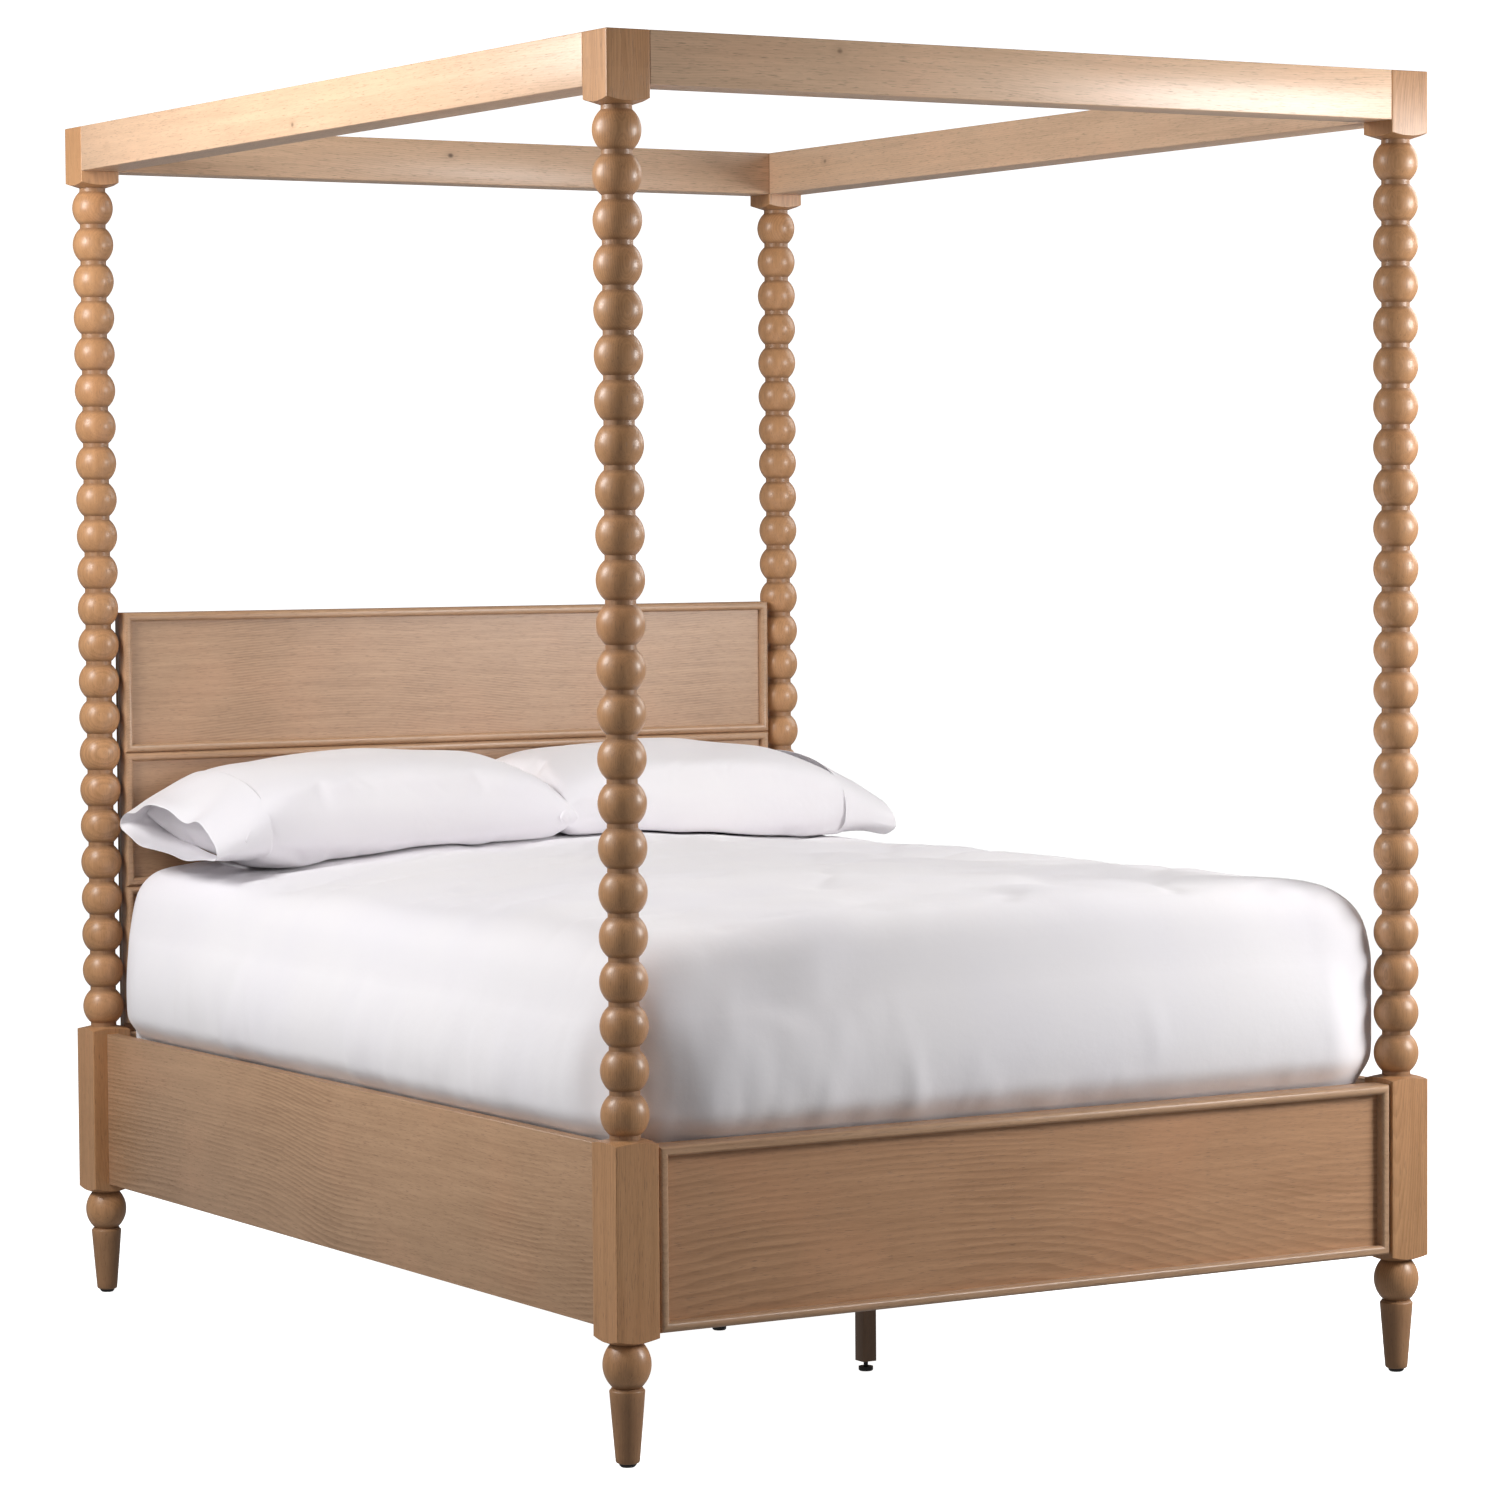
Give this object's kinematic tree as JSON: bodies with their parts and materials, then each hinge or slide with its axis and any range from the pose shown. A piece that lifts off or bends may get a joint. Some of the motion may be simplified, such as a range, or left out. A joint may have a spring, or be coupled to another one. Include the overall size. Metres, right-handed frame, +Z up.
{
  "type": "four poster canopy bed",
  "caption": "Oak four poster canopy bed with bobbin-turned posts, open canopy frame, panelled head and foot boards, slatted base, mattress, duvet and pillows.",
  "frame": {"origin": "on the floor, under the middle of the bed's overall box", "axes": "+X to the right seen from the foot of the bed, +Y towards the head, +Z up; the foot faces -Y"},
  "size_m": [1.641, 2.159, 2.2832],
  "materials": {
    "oak_turned": "turned oak, brown stain and satin lacquer, darker in the grooves",
    "oak_boards": "oak boards, brown stain and satin lacquer",
    "oak_canopy": "lighter knotty rails, brown stain and satin lacquer",
    "pale_wood": "planed pine, unfinished",
    "stained_legs": "dark brown stain, satin",
    "black_plastic": "moulded black glides",
    "steel": "zinc plated",
    "ticking": "woven mattress cover",
    "duvet_cotton": "white cotton percale",
    "pillow_cotton": "white cotton percale"
  },
  "bodies": {
    "bed": {"base_post_foot_left": "oak_turned", "base_post_foot_right": "oak_turned", "base_post_head_left": "oak_turned", "base_post_head_right": "oak_turned", "upper_post_foot_left": "oak_turned", "upper_post_foot_right": "oak_turned", "upper_post_head_left": "oak_turned", "upper_post_head_right": "oak_turned", "canopy_rail_foot": "oak_canopy", "canopy_rail_head": "oak_canopy", "canopy_rail_left": "oak_canopy", "canopy_rail_right": "oak_canopy", "side_rail_left": "oak_boards", "side_rail_right": "oak_boards", "head_rail": "oak_boards", "footboard_back": "oak_boards", "footboard_panel": "oak_boards", "footboard_moulding": "oak_boards", "headboard_frame": "oak_boards", "headboard_panel_lower": "oak_boards", "headboard_panel_middle": "oak_boards", "headboard_panel_top": "oak_boards", "headboard_moulding_lower": "oak_boards", "headboard_moulding_middle": "oak_boards", "headboard_moulding_top": "oak_boards", "ledger_left": "pale_wood", "ledger_right": "pale_wood", "slat_1": "pale_wood", "slat_2": "pale_wood", "slat_3": "pale_wood", "slat_4": "pale_wood", "slat_5": "pale_wood", "slat_6": "pale_wood", "slat_7": "pale_wood", "slat_8": "pale_wood", "slat_9": "pale_wood", "slat_10": "pale_wood", "centre_beam": "pale_wood", "beam_hangers": "steel", "centre_leg_1": "stained_legs", "centre_leg_2": "stained_legs", "centre_leg_3": "stained_legs", "leveller_inserts": "steel", "post_glides": "black_plastic", "post_studs": "steel", "post_bushes": "steel", "canopy_pegs": "pale_wood", "hook_plates": "steel", "slot_plates": "steel", "plate_screws": "steel", "slat_screws": "steel", "headboard_pins": "steel", "headboard_bolts": "steel", "mattress": "ticking", "duvet": "duvet_cotton", "pillow_left": "pillow_cotton", "pillow_right": "pillow_cotton"},
    "leveller_1": {"leveller_1": "black_plastic"},
    "leveller_2": {"leveller_2": "black_plastic"},
    "leveller_3": {"leveller_3": "black_plastic"}
  },
  "joints": [
    {"name": "leveller_1_travel", "type": "slide", "parent": "bed", "child": "leveller_1", "axis": [0, 0, 1], "range_m": [-0.006, 0.008]},
    {"name": "leveller_2_travel", "type": "slide", "parent": "bed", "child": "leveller_2", "axis": [0, 0, 1], "range_m": [-0.006, 0.008]},
    {"name": "leveller_3_travel", "type": "slide", "parent": "bed", "child": "leveller_3", "axis": [0, 0, 1], "range_m": [-0.006, 0.008]}
  ]
}
